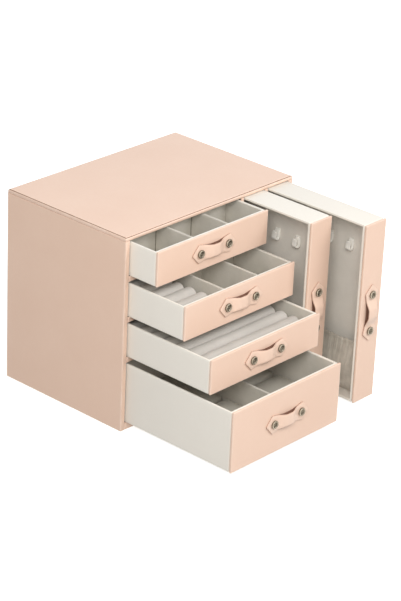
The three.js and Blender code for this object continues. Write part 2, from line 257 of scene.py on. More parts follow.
PINK = coated_leather(
    "pink_leather",
    base=colour(0.90, 0.655, 0.515),
    worn_and_lit=colour(0.95, 0.75, 0.63),
    shadow=colour(0.87, 0.62, 0.48),
    grain=1500,
    roughness=0.5,
)
STRAP_PINK = coated_leather(
    "strap_leather",
    base=colour(0.92, 0.68, 0.54),
    worn_and_lit=colour(0.95, 0.73, 0.60),
    shadow=colour(0.88, 0.63, 0.49),
    grain=1700,
    roughness=0.46,
)
IVORY = coated_leather(
    "ivory_covering",
    base=colour(0.93, 0.885, 0.805),
    worn_and_lit=colour(0.93, 0.895, 0.81),
    shadow=colour(0.90, 0.855, 0.775),
    grain=1900,
    roughness=0.62,
)
STRAP_EDGE = coated_leather(
    "strap_edge",
    base=colour(0.72, 0.50, 0.39),
    worn_and_lit=colour(0.76, 0.55, 0.44),
    shadow=colour(0.64, 0.43, 0.33),
    grain=1500,
    roughness=0.6,
)
# Dark brown for the strap's underside and for the strip of painted shadow under its arch.
STRAP_BACK_AND_PAINTED_SHADOW = coated_leather(
    "strap_back_and_painted_shadow",
    base=colour(0.20, 0.09, 0.055),
    worn_and_lit=colour(0.25, 0.12, 0.075),
    shadow=colour(0.15, 0.065, 0.04),
    grain=2000,
    roughness=0.8,
)
# Painted shade: the dark brown of the top groove's walls stands for the shadow line in the groove.
PAINTED_GROOVE_SHADE = coated_leather(
    "groove_painted_shade",
    base=colour(0.36, 0.20, 0.13),
    worn_and_lit=colour(0.42, 0.25, 0.17),
    shadow=colour(0.30, 0.17, 0.11),
    grain=1500,
    roughness=0.6,
)
# Painted shadow: dark brown for the sheet between each box and its front, where the gap's shade
# falls.
PAINTED_GAP_SHADOW = coated_leather(
    "gap_painted_shadow",
    base=colour(0.50, 0.30, 0.21),
    worn_and_lit=colour(0.60, 0.38, 0.28),
    shadow=colour(0.42, 0.24, 0.17),
    grain=2400,
    roughness=0.42,
)
# Painted shade: a near-black brown that darkens the insides of the bays, where shade falls in the
# gaps between drawers.
PAINTED_BAY_SHADE = coated_leather(
    "bay_painted_shade",
    base=colour(0.15, 0.105, 0.07),
    worn_and_lit=colour(0.18, 0.13, 0.09),
    shadow=colour(0.12, 0.085, 0.055),
    grain=900,
    roughness=0.8,
)
VELVET = velvet("grey_velvet", colour(0.70, 0.665, 0.60), colour(0.52, 0.49, 0.42))
# Painted light: the same grey velvet made lighter for the tall cases' linings, to stand in for more
# light inside them.
PANEL_VELVET_PAINTED_LIGHTER = velvet("velvet_painted_lighter_panel", colour(0.84, 0.80, 0.735), colour(0.70, 0.66, 0.60))
# Painted shade: the same grey velvet made darker for the ring rolls and the cushions, which lie in
# the shade of the drawers above.
ROLL_VELVET_PAINTED_DARKER = velvet("velvet_painted_darker_rolls", colour(0.60, 0.57, 0.53), colour(0.46, 0.435, 0.40))
CUSHION_VELVET_PAINTED_DARKER = velvet("velvet_painted_darker_cushions", colour(0.54, 0.51, 0.45), colour(0.42, 0.395, 0.34))
# Painted shade: a dark velvet for the corners of the divider grid and the gaps between the rolls,
# where shade falls.
PAINTED_CREASE_SHADE = velvet("painted_crease_shade", colour(0.26, 0.24, 0.20), colour(0.20, 0.185, 0.15))
POCKET_CLOTH = gathered_cloth("pocket_cloth", colour(0.62, 0.58, 0.51), colour(0.28, 0.25, 0.205))
METAL = satin_metal("rivet_metal", colour(0.38, 0.33, 0.255), colour(0.075, 0.06, 0.04))
PLASTIC = moulded_plastic("hook_plastic", colour(0.93, 0.91, 0.86), colour(0.88, 0.86, 0.80))

# ---- Mesh helpers ---------------------------------------------------------------------------

MERGE = 0.004 * MM
FINE_MERGE = 0.001 * MM
SHEET_ROUND = 0.1 * MM
WEAR_AND_HIGHLIGHT_BAND = 1.6 * MM
ARC_END_WEAR_AND_HIGHLIGHT = 0.6


class Shell:
    """Collects points and faces, with an edge value for each point, which paints edges lighter as
    wear and a painted highlight, and a material for each face.
    """

    def __init__(self):
        self.points = []
        self.wear_and_highlight = []
        self.faces = []
        self.slots = []

    def add(self, points, faces, wear_and_highlight=None, slot=0):
        start = len(self.points)
        self.points.extend(tuple(float(c) for c in p) for p in points)
        self.wear_and_highlight.extend([0.0] * len(points) if wear_and_highlight is None else wear_and_highlight)
        for face in faces:
            self.faces.append([start + i for i in face])
        if isinstance(slot, int):
            slot = [slot] * len(faces)
        self.slots.extend(slot)
        return self

    def build(self, name, materials, merge=MERGE):
        mesh = bpy.data.meshes.new(name)
        mesh.from_pydata(self.points, [], self.faces)
        for material in materials:
            mesh.materials.append(material)
        mesh.polygons.foreach_set("material_index", self.slots)
        wear_and_highlight = mesh.attributes.new("edge", "FLOAT", "POINT")
        wear_and_highlight.data.foreach_set("value", self.wear_and_highlight)
        work = bmesh.new()
        work.from_mesh(mesh)
        bmesh.ops.remove_doubles(work, verts=work.verts, dist=merge)
        bmesh.ops.recalc_face_normals(work, faces=work.faces)
        work.to_mesh(mesh)
        work.free()
        mesh.polygons.foreach_set("use_smooth", [True] * len(mesh.polygons))
        mesh.validate()
        piece = bpy.data.objects.new(name, mesh)
        bpy.context.collection.objects.link(piece)
        return piece


def settle(piece, body, slot, *nodes):
    """The piece rides on its body and stands for the nodes. The slot is not used."""
    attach(piece, body)
    if nodes:
        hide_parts(*nodes)
    return piece


def apply_modifier(piece, modifier):
    bpy.context.view_layer.objects.active = piece
    with bpy.context.temp_override(object=piece, active_object=piece, selected_objects=[piece]):
        bpy.ops.object.modifier_apply(modifier=modifier.name)


def rounding_stations(low, high, radius, band, steps=3):
    """Stations along one axis: close together round both edges, then one where the lighter edge band
    of wear and painted highlight ends.
    """
    offsets = [radius * (1 - math.tan(math.pi / 4 * (1 - i / steps))) for i in range(steps + 1)]
    wear_and_highlight = [1.0] * steps + [ARC_END_WEAR_AND_HIGHLIGHT]
    least_flat = 0.1 * MM
    if high - low > 2 * (radius + band) + least_flat:
        offsets.append(radius + band)
        wear_and_highlight.append(0.0)
    near = [(low + offset, w) for offset, w in zip(offsets, wear_and_highlight)]
    far = [(high - offset, w) for offset, w in zip(offsets, wear_and_highlight)]
    return near + far[::-1]


def rounded_box(shell, low, high, radius, band=WEAR_AND_HIGHLIGHT_BAND, slot=0):
    """A box with every edge and corner rounded, as one closed grid. radius may differ by axis."""
    low, high = np.array(low), np.array(high)
    radius = np.array(radius) * np.ones(3)
    inner_low, inner_high = low + radius, high - radius
    stations = [rounding_stations(low[a], high[a], radius[a], band) for a in range(3)]
    for axis in range(3):
        b, c = (axis + 1) % 3, (axis + 2) % 3
        for side in (0, 1):
            points, wear_and_highlight, faces = [], [], []
            for value_b, wear_and_highlight_b in stations[b]:
                for value_c, wear_and_highlight_c in stations[c]:
                    q = np.zeros(3)
                    q[axis] = (low, high)[side][axis]
                    q[b], q[c] = value_b, value_c
                    core = np.clip(q, inner_low, inner_high)
                    offset = (q - core) / radius
                    points.append(core + offset / np.linalg.norm(offset) * radius)
                    wear_and_highlight.append(max(wear_and_highlight_b, wear_and_highlight_c))
            across = len(stations[c])
            for i in range(len(stations[b]) - 1):
                for j in range(across - 1):
                    k = i * across + j
                    face = [k, k + across, k + across + 1, k + 1]
                    faces.append(face if side else face[::-1])
            shell.add(points, faces, wear_and_highlight, slot)
    return shell


def rounded_rectangle(low, high, radius, height, corner_steps=4):
    """Points round a rectangle with rounded corners, at one height."""
    left, right = low[0] + radius, high[0] - radius
    near, far = low[1] + radius, high[1] - radius
    centres = [(right, far), (left, far), (left, near), (right, near)]
    points = []
    for quarter, (cx, cy) in enumerate(centres):
        for step in range(corner_steps + 1):
            angle = math.pi / 2 * (quarter + step / corner_steps)
            points.append((cx + radius * math.cos(angle), cy + radius * math.sin(angle), height))
    return points


def loft(shell, rings, wear_and_highlight, slots, turn):
    """Joins rings of equal length and closes both ends. turn maps ring points to the row frame."""
    count = len(rings[0])
    points = [turn(p) for ring in rings for p in ring]
    values = [w for w in wear_and_highlight for _ in range(count)]
    faces, face_slots = [], []
    for i in range(len(rings) - 1):
        for j in range(count):
            k = (j + 1) % count
            faces.append([i * count + j, i * count + k, (i + 1) * count + k, (i + 1) * count + j])
            face_slots.append(slots[i])
    faces.append(list(range(count))[::-1])
    face_slots.append(slots[0])
    last = (len(rings) - 1) * count
    faces.append([last + j for j in range(count)])
    face_slots.append(slots[-1])
    shell.add(points, faces, values, face_slots)
    return shell


def plain_loft(shell, rings, turn, slot=0):
    """A loft of one material, with no wear."""
    return loft(shell, rings, [0.0] * len(rings), [slot] * len(rings), turn)


def arc(steps, start, end):
    """Angles or shares in equal steps, with both ends."""
    return [start + (end - start) * i / steps for i in range(steps + 1)]


def quarter_turn(steps):
    """Angles from 0 to 90 degrees, for a rounded edge."""
    return arc(steps, 0, math.pi / 2)


def rounded_power(value, power):
    """value to a power below 1, with its sign kept: it squares off a circle."""
    return math.copysign(abs(value) ** power, value)


# ---- Cabinet --------------------------------------------------------------------------------

BOARD_ROUND = 0.9 * MM
JOINT_ROUND = 0.25 * MM
TOP_CORNER = 1.5 * MM
TOP_CORNER_LEAST = 0.2 * MM
TOP_RIM_DROP = 0.55 * MM
TOP_RIM_WIDTH = 1.0 * MM
TOP_RIM_REACH = 0.9
TOP_GROOVE_WIDTH = 0.8 * MM
TOP_GROOVE_DEPTH = 1.3 * MM
TOP_SHEET_ROUND = 0.3 * MM
UNDERSIDE_INSET = 8 * MM
CABINET_BOARDS = (
    "left_side", "right_side", "base_panel", "back_panel", "main_partition", "tall_partition"
)
SHELVES = ("shelf_1", "shelf_2", "shelf_3")


def covered_board(node, body, radius, material=PINK, slot="pink_leather"):
    """One board with its covering wrapped over every edge."""
    low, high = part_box(node)
    piece = rounded_box(Shell(), low, high, radius).build(f"{node}_covered", [material])
    return settle(piece, body, slot, node)


def covered_top():
    """The top board wrapped over its edges, with a leather sheet laid on it inside a thin groove
    whose walls are painted dark brown: painted shade for the shadow line there.
    """
    low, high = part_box("top_panel")
    rings, wear_and_highlight, slots = [], [], []

    def ring(inset, z, w=0.0, slot=0):
        corner = max(TOP_CORNER_LEAST, TOP_CORNER - inset)
        a = (low.x + inset, low.y + inset)
        b = (high.x - inset, high.y - inset)
        rings.append(rounded_rectangle(a, b, corner, z))
        wear_and_highlight.append(w)
        slots.append(slot)

    step = 0.05 * MM
    rim = high.z - TOP_RIM_DROP
    ring(UNDERSIDE_INSET, low.z)
    ring(JOINT_ROUND, low.z)
    ring(0, low.z + JOINT_ROUND, 0.3)
    # The rim's rounded edge is painted lighter through its edge value: rubbed wear and a painted
    # highlight.
    ring(0, rim - TOP_RIM_WIDTH, 0.7)
    for angle in quarter_turn(4)[1:]:
        inset = TOP_RIM_REACH * TOP_RIM_WIDTH * (1 - math.cos(angle))
        ring(inset, rim - TOP_RIM_WIDTH * (1 - math.sin(angle)), 1)
    # The groove's walls take the second material, painted shade that darkens them into a shadow line.
    ring(TOP_RIM_WIDTH, rim - step, 0.2, 1)
    ring(TOP_RIM_WIDTH + step, high.z - TOP_GROOVE_DEPTH, 0, 1)
    sheet = TOP_RIM_WIDTH + TOP_GROOVE_WIDTH
    ring(sheet - step, high.z - TOP_GROOVE_DEPTH, 0, 1)
    ring(sheet, high.z - TOP_SHEET_ROUND, 0.3, 0)
    for angle in quarter_turn(3)[1:]:
        inset = sheet + TOP_SHEET_ROUND * (1 - math.cos(angle))
        ring(inset, high.z - TOP_SHEET_ROUND * (1 - math.sin(angle)), 0.7)
    ring(sheet + 3 * MM, high.z)
    ring(sheet + 30 * MM, high.z)
    top = loft(Shell(), rings, wear_and_highlight, slots, lambda p: p)
    settle(top.build("top_panel_covered", [PINK, PAINTED_GROOVE_SHADE]), "cabinet", "pink_leather", "top_panel")


covered_top()
for board in CABINET_BOARDS:
    covered_board(board, "cabinet", (BOARD_ROUND, BOARD_ROUND, JOINT_ROUND))
for board in SHELVES:
    covered_board(board, "cabinet", (JOINT_ROUND, BOARD_ROUND, BOARD_ROUND))

SHADE_SHEET = 0.25 * MM
SHADE_SHEET_START = 1.4 * MM


def shade_sheets_in_bay(shell, low, high):
    """Dark sheets of painted shade on the four sides and the back of one bay, up to just behind the
    front edges.
    """
    for axis in (0, 2):
        for start in (low[axis], high[axis] - SHADE_SHEET):
            a, b = low.copy(), high.copy()
            a[axis] = start
            b[axis] = a[axis] + SHADE_SHEET
            rounded_box(shell, a, b, SHEET_ROUND)
    rounded_box(shell, (low.x, high.y - SHADE_SHEET, low.z), high, SHEET_ROUND)


def bay_shade_sheets():
    """Painted shade in the four drawer bays, from the top down, and in the two tall bays."""
    shell = Shell()
    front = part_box("left_side")[0].y + SHADE_SHEET_START
    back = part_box("back_panel")[0].y
    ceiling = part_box("top_panel")[0].z
    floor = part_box("base_panel")[1].z
    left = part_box("left_side")[1].x
    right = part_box("main_partition")[0].x
    levels = [ceiling]
    for shelf in SHELVES:
        shelf_low, shelf_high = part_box(shelf)
        levels += [shelf_high.z, shelf_low.z]
    levels.append(floor)
    for top, bottom in zip(levels[::2], levels[1::2]):
        shade_sheets_in_bay(shell, Vector((left, front, bottom)), Vector((right, back, top)))
    walls = ("main_partition", "tall_partition", "right_side")
    for before, after in zip(walls, walls[1:]):
        low = Vector((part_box(before)[1].x, front, floor))
        shade_sheets_in_bay(shell, low, Vector((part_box(after)[0].x, back, ceiling)))
    # The bays' insides darkened with painted shade.
    settle(shell.build("bay_painted_shade_sheets", [PAINTED_BAY_SHADE]), "cabinet", "grey_velvet")


bay_shade_sheets()

# ---- Trays and cases ------------------------------------------------------------------------

WALL = 2.6 * MM
FLOOR = 2.6 * MM
BOX_CORNER = 1.2 * MM
BOX_CORNER_LEAST = 0.25 * MM
RIM_ROUND = 0.7 * MM
LINING = 0.3 * MM
LINING_DROP = 0.9 * MM
LINING_CORNER = 0.5 * MM
LINING_EDGE = 0.3 * MM
LINING_FOOT = 1.2 * MM
LINING_FOOT_START = 1.6 * MM
BOX_FLOOR_INSET = 6 * MM
LINING_FLOOR_INSET = 8 * MM
FOOT_WEAR_AND_HIGHLIGHT_REACH = 5 * MM
RIM_WEAR_AND_HIGHLIGHT_REACH = 4 * MM
SHADOW_SHEET = 0.9 * MM
SHADOW_SHEET_INSET = 1.2 * MM
SHADOW_SHEET_OVERLAP = 1 * MM


def box_frame(low, high, opens_left):
    """An open box's plan corners and depth, and the map from plan points to the row frame."""
    if opens_left:
        corners = (low.y, low.z), (high.y, high.z)
        return *corners, high.x - low.x, lambda p: (high.x - p[2], p[0], p[1])
    corners = (low.x, low.y), (high.x, high.y)
    return *corners, high.z - low.z, lambda p: (p[0], p[1], low.z + p[2])


def lined_box(name, low, high, opens_left, lining):
    """An open box: covered outside and over the rim, and lined with velvet from just under the rim.

    A drawer's tray opens upwards, and a tall case opens to the left. A dark brown sheet a little
    smaller than the box stands between the box and the drawer's front: painted shadow for the shade
    in the gap between them.
    """
    shell = Shell()
    # A dark sheet of painted shadow between the box and the front.
    margin = Vector((SHADOW_SHEET_INSET, 0, SHADOW_SHEET_INSET))
    shadow_sheet_high = Vector((high.x, low.y + SHADOW_SHEET + SHADOW_SHEET_OVERLAP, high.z)) - margin
    rounded_box(shell, low + margin, shadow_sheet_high, SHEET_ROUND, slot=2)
    behind_shadow_sheet = Vector((low.x, low.y + SHADOW_SHEET, low.z))
    plan_low, plan_high, deep, turn = box_frame(behind_shadow_sheet, high, opens_left)
    rings, wear_and_highlight, slots = [], [], []

    def ring(inset, height, w, slot):
        corner = max(BOX_CORNER_LEAST, BOX_CORNER - inset) if slot == 0 else LINING_CORNER
        a = (plan_low[0] + inset, plan_low[1] + inset)
        b = (plan_high[0] - inset, plan_high[1] - inset)
        rings.append(rounded_rectangle(a, b, corner, height))
        wear_and_highlight.append(w)
        slots.append(slot)

    ring(BOX_FLOOR_INSET, 0, 0, 0)
    for angle in quarter_turn(3):
        ring(RIM_ROUND * (1 - math.sin(angle)), RIM_ROUND * (1 - math.cos(angle)), 0.8, 0)
    ring(0, FOOT_WEAR_AND_HIGHLIGHT_REACH, 0, 0)
    ring(0, deep - RIM_WEAR_AND_HIGHLIGHT_REACH, 0, 0)
    for angle in quarter_turn(3):
        ring(RIM_ROUND * (1 - math.cos(angle)), deep - RIM_ROUND * (1 - math.sin(angle)), 1, 0)
    for angle in quarter_turn(3):
        inset = WALL - RIM_ROUND * (1 - math.sin(angle))
        ring(inset, deep - RIM_ROUND * (1 - math.cos(angle)), 1, 0)
    ring(WALL, deep - LINING_DROP, 0.3, 0)
    face = WALL + LINING
    ring(WALL + 0.1 * MM, deep - LINING_DROP, 0, 1)
    ring(face, deep - LINING_DROP - LINING_EDGE, 0, 1)
    ring(face, FLOOR + LINING_FOOT_START, 0, 1)
    for angle in quarter_turn(3):
        inset = face + LINING_FOOT * (1 - math.cos(angle))
        ring(inset, FLOOR + LINING + LINING_FOOT * (1 - math.sin(angle)), 0, 1)
    ring(face + LINING_FLOOR_INSET, FLOOR + LINING, 0, 1)
    return loft(shell, rings, wear_and_highlight, slots, turn).build(name, [IVORY, lining, PAINTED_GAP_SHADOW])


for level in SMALL_DRAWERS:
    low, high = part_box(f"tray_{level}")
    tray = lined_box(f"tray_{level}_lined", low, high, opens_left=False, lining=VELVET)
    settle(tray, f"drawer_{level}", "ivory_lining", f"tray_{level}")
for index in TALL_CASES:
    low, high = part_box(f"case_tall_{index}")
    # The lining is the lighter copy of the velvet: painted light.
    case = lined_box(f"case_tall_{index}_lined", low, high, opens_left=True, lining=PANEL_VELVET_PAINTED_LIGHTER)
    settle(case, f"tall_drawer_{index}", "ivory_lining", f"case_tall_{index}")

# ---- Fronts, straps and rivets --------------------------------------------------------------

STRAP_THICKNESS = 1.1 * MM
STRAP_GAP = 0.3 * MM
STRAP_HALF_SPACING = 21 * MM
STRAP_TIP = STRAP_HALF_SPACING + 11.2 * MM
STRAP_TIP_HALF = 0.9 * MM
STRAP_CORNER = STRAP_HALF_SPACING + 2.5 * MM
STRAP_END_HALF = 10.6 * MM
STRAP_NECK_HALF = 6.9 * MM
STRAP_NECK_REACH = 4 * MM
STRAP_WAIST_POWER = 1.3
STRAP_LIFT = 3.6 * MM
STRAP_LIFT_FLAT = 3 * MM
STRAP_LIFT_REACH = 16 * MM
STRAP_EDGE_ROUND = 0.5 * MM
STRAP_CROWN = 0.1 * MM
SHADOW_STRIP_THICKNESS = 0.25 * MM
SHADOW_STRIP_START = 0.02 * MM
SHADOW_STRIP_INSET = 0.2 * MM
FACE, EDGE, BACK_AND_SHADOW = 0, 1, 2


def strap_half_width(x):
    """Half the strap's width: a narrow neck between the rivets, a wide end and a pointed tip."""
    x = abs(x)
    if x >= STRAP_CORNER:
        share = (STRAP_TIP - x) / (STRAP_TIP - STRAP_CORNER)
        return STRAP_TIP_HALF + (STRAP_END_HALF - STRAP_TIP_HALF) * share
    if x <= STRAP_NECK_REACH:
        return STRAP_NECK_HALF
    run = (x - STRAP_NECK_REACH) / (STRAP_CORNER - STRAP_NECK_REACH)
    return STRAP_NECK_HALF + (STRAP_END_HALF - STRAP_NECK_HALF) * run ** STRAP_WAIST_POWER


def strap_lift(x):
    """How far the strap's back stands off its rest on the front, at x from the middle."""
    run = (STRAP_LIFT_REACH - abs(x)) / (STRAP_LIFT_REACH - STRAP_LIFT_FLAT)
    run = min(1.0, max(0.0, run))
    return STRAP_LIFT * (1 - math.cos(math.pi * run)) / 2


def strap_stations():
    """Stations from tip to tip, closer together at the corners and the tips."""
    right = [i * 0.8 * MM for i in range(29)]
    right += [STRAP_CORNER - 0.25 * MM, STRAP_CORNER + 0.25 * MM]
    right += [STRAP_CORNER + (STRAP_TIP - STRAP_CORNER) * i / 6 for i in range(1, 6)]
    right += [STRAP_TIP - 0.4 * MM, STRAP_TIP]
    right = sorted(set(round(x, 6) for x in right))
    return [-x for x in right[:0:-1]] + right


def strap_section(half, small, thick):
    """The strap's cross-section: (across, out, material), from the face round to the back.

    small is the rounding of its edges, and a chamfer of 0.3 times that stands for the arc's middle.
    """
    flat = half - small
    cut = 0.3 * small
    section = []
    for share in np.linspace(-1, 1, 7):
        section.append((share * flat, thick + STRAP_CROWN * (1 - share ** 2), FACE))
    section += [(half - cut, thick - cut, EDGE), (half, thick - small, EDGE)]
    section += [(half, small, EDGE), (half - cut, cut, EDGE)]
    section += [(share * flat, 0, BACK_AND_SHADOW) for share in (1, 0.33, -0.33, -1)]
    section += [(cut - half, cut, EDGE), (-half, small, EDGE)]
    section += [(-half, thick - small, EDGE), (cut - half, thick - cut, EDGE)]
    return section


def painted_shadow_strip(shell, turn):
    """A dark brown strip laid on the front under the arch, from rivet to rivet: painted shadow,
    standing for the shade under the arched strap.
    """
    low, high = SHADOW_STRIP_START, SHADOW_STRIP_START + SHADOW_STRIP_THICKNESS
    rings = []
    for share in np.linspace(-1, 1, 25):
        x = share * STRAP_HALF_SPACING
        half = strap_half_width(x) - SHADOW_STRIP_INSET
        rings.append([(x, -half, low), (x, half, low), (x, half, high), (x, -half, high)])
    plain_loft(shell, rings, turn, slot=BACK_AND_SHADOW)


def strap(label, body):
    """A flat leather strap with pointed ends, arched off the front between its two rivets, with a
    strip of painted shadow under the arch.
    """
    node = f"strap_{label}"
    low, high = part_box(node)
    centre = (low + high) / 2
    upright = (high.z - low.z) > (high.x - low.x)
    front_face = high.y + STRAP_GAP
    step = 0.2 * MM
    rings = []
    for x in strap_stations():
        half = strap_half_width(x)
        slope = (strap_lift(x + step) - strap_lift(x - step)) / (2 * step)
        size = math.hypot(1, slope)
        base = STRAP_GAP + strap_lift(x)
        section = strap_section(half, min(STRAP_EDGE_ROUND, 0.4 * half), STRAP_THICKNESS)
        tilt = slope / size
        rings.append([(x - out * tilt, across, base + out / size) for across, out, _ in section])

    def turn(p):
        along, across, out = p
        if upright:
            return (centre.x + across, front_face - out, centre.z - along)
        return (centre.x + along, front_face - out, centre.z + across)

    shell = plain_loft(Shell(), rings, turn)
    columns = [material for _, _, material in section]
    for i in range(len(rings) - 1):
        for j, material in enumerate(columns):
            after = columns[(j + 1) % len(columns)]
            shell.slots[i * len(columns) + j] = material if material == after else EDGE
    shell.slots[-2:] = [EDGE, EDGE]  # the two tips
    # A dark strip of painted shadow under the arch.
    painted_shadow_strip(shell, turn)
    piece = shell.build(f"{node}_leather", [STRAP_PINK, STRAP_EDGE, STRAP_BACK_AND_PAINTED_SHADOW])
    return settle(piece, body, "pink_leather", node)


FRONT_ROUND = 0.6 * MM
RIVET_HEIGHT = 1.9 * MM
RIVET_SIDES = 32
# Share of the head's radius, height in mm over the base, and the edge value: high on the rim and the
# raised centre, which are painted lighter (rubbed plating and a painted highlight), and nought in the
# dish, which is left dark as painted shade.
RIVET_PROFILE = (
    (0.95, -0.5, 0), (1.0, 0.2, 0.3), (1.0, 0.7, 0.7), (0.97, 1.15, 1), (0.9, 1.5, 1),
    (0.82, 1.65, 1), (0.74, 1.6, 0.9), (0.67, 1.35, 0.5), (0.6, 0.9, 0.1), (0.52, 0.5, 0),
    (0.42, 0.3, 0), (0.3, 0.25, 0), (0.22, 0.35, 0), (0.15, 0.55, 0.4), (0.05, 0.6, 0.5),
)


def rivet(node, body):
    """A cap rivet: rolled rim, dished middle with a small raised centre."""
    low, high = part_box(node)
    centre = (low + high) / 2
    head = (high.x - low.x) / 2
    base = low.y + RIVET_HEIGHT
    rings, wear_and_highlight = [], []
    for share, out, w in RIVET_PROFILE:
        around = []
        for step in range(RIVET_SIDES):
            angle = 2 * math.pi * step / RIVET_SIDES
            around.append((head * share * math.cos(angle), head * share * math.sin(angle), out * MM))
        rings.append(around)
        wear_and_highlight.append(w)

    def turn(p):
        return (centre.x + p[0], base - p[2], centre.z + p[1])

    shell = loft(Shell(), rings, wear_and_highlight, [0] * len(rings), turn)
    piece = shell.build(f"{node}_cap", [METAL])
    return settle(piece, body, "satin_metal", node)


for level in SMALL_DRAWERS:
    body = f"drawer_{level}"
    covered_board(f"front_{level}", body, FRONT_ROUND)
    strap(str(level), body)
    for end in ("left", "right"):
        rivet(f"rivet_{level}_{end}", body)
for index in TALL_CASES:
    body = f"tall_drawer_{index}"
    covered_board(f"front_tall_{index}", body, FRONT_ROUND)
    strap(f"tall_{index}", body)
    for end in ("upper", "lower"):
        rivet(f"rivet_tall_{index}_{end}", body)

# ---- Dividers -------------------------------------------------------------------------------

DIVIDER_ROUND = 1.1 * MM
DIVIDER_HALF = 1.5 * MM
CROSS_DROP = 0.15 * MM
CREASE_WIDTH = 1.2 * MM
CREASE_START = 1 * MM
CREASE_DROP = 1.6 * MM


def divider_grid():
    """The first drawer's grid: two velvet boards each way, with painted shade in the corners where
    they cross.
    """
    low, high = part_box("divider_grid_1")
    tray_low, tray_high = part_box("tray_1")
    centre_x = (tray_low.x + tray_high.x) / 2
    centre_y = (low.y + high.y) / 2
    half_cell_x = (tray_high.x - tray_low.x - 2 * WALL) / 6
    half_cell_y = (tray_high.y - tray_low.y - 2 * WALL) / 6
    half = DIVIDER_HALF
    cross_top = high.z - CROSS_DROP
    shell = Shell()
    for side in (-1, 1):
        x = centre_x + side * half_cell_x
        y = centre_y + side * half_cell_y
        rounded_box(shell, (x - half, low.y, low.z), (x + half, high.y, high.z), DIVIDER_ROUND)
        rounded_box(shell, (low.x, y - half, low.z), (high.x, y + half, cross_top), DIVIDER_ROUND)
    # Dark columns of painted shade in each corner where the boards cross.
    reach = CREASE_WIDTH / 2
    for x in (centre_x - half_cell_x, centre_x + half_cell_x):
        for y in (centre_y - half_cell_y, centre_y + half_cell_y):
            for side_x, side_y in ((-1, -1), (-1, 1), (1, -1), (1, 1)):
                corner_x, corner_y = x + side_x * half, y + side_y * half
                crease_low = (corner_x - reach, corner_y - reach, low.z + CREASE_START)
                crease_high = (corner_x + reach, corner_y + reach, high.z - CREASE_DROP)
                rounded_box(shell, crease_low, crease_high, SHEET_ROUND, slot=1)
    piece = shell.build("divider_grid_1_velvet", [VELVET, PAINTED_CREASE_SHADE], merge=FINE_MERGE)
    return settle(piece, "drawer_1", "grey_velvet", "divider_grid_1")


divider_grid()
for node in ("divider_2_left", "divider_2_right", "divider_2_cross"):
    covered_board(node, "drawer_2", DIVIDER_ROUND, VELVET, "grey_velvet")
covered_board("divider_4", "drawer_4", DIVIDER_ROUND, VELVET, "grey_velvet")

# ---- Ring rolls -----------------------------------------------------------------------------

ROLL_PITCH = 17.1 * MM
ROLL_MARGIN = 8.2 * MM
ROLL_GROOVE = 1.0 * MM
ROLL_GROOVE_ROUND = 0.2 * MM
ROLL_GROOVE_INSET = 1.5 * MM
ROLL_END_GAP = 7.7 * MM
ROLL_END_STRAIGHT = 14 * MM
ROLL_END_SPREAD = 0.5 * MM
ROLL_STATION = 9 * MM
ROLL_SIDES = 28
ROLL_PAD_BASE = 6.7 * MM
ROLL_PAD_ROUND = 0.9 * MM
ROLL_PAD_SINK = 1 * MM
ROLL_CLEARANCE = 0.4 * MM
# Distance from a roll's end, and the share of its full size there.
ROLL_END = (
    (0.0, 0.7), (0.2 * MM, 0.82), (0.6 * MM, 0.91), (1.3 * MM, 0.97), (2.4 * MM, 0.995), (5 * MM, 1.0)
)


def roll_section(angle, radius, depth):
    """One roll's outline: round on top, with flat cheeks where it presses on the next roll."""
    across = radius * rounded_power(math.cos(angle), 0.9)
    up = radius * math.sin(angle) if angle <= math.pi else depth * math.sin(angle)
    return across, up


def roll_stations(left, right, count):
    """Stations along one roll as (place, size), close together where its ends round off."""
    stations = [(left + offset, size) for offset, size in ROLL_END]
    straight = np.linspace(left + ROLL_END_STRAIGHT, right - ROLL_END_STRAIGHT, count)
    stations += [(x, 1.0) for x in straight]
    return stations + [(right - offset, size) for offset, size in ROLL_END[::-1]]


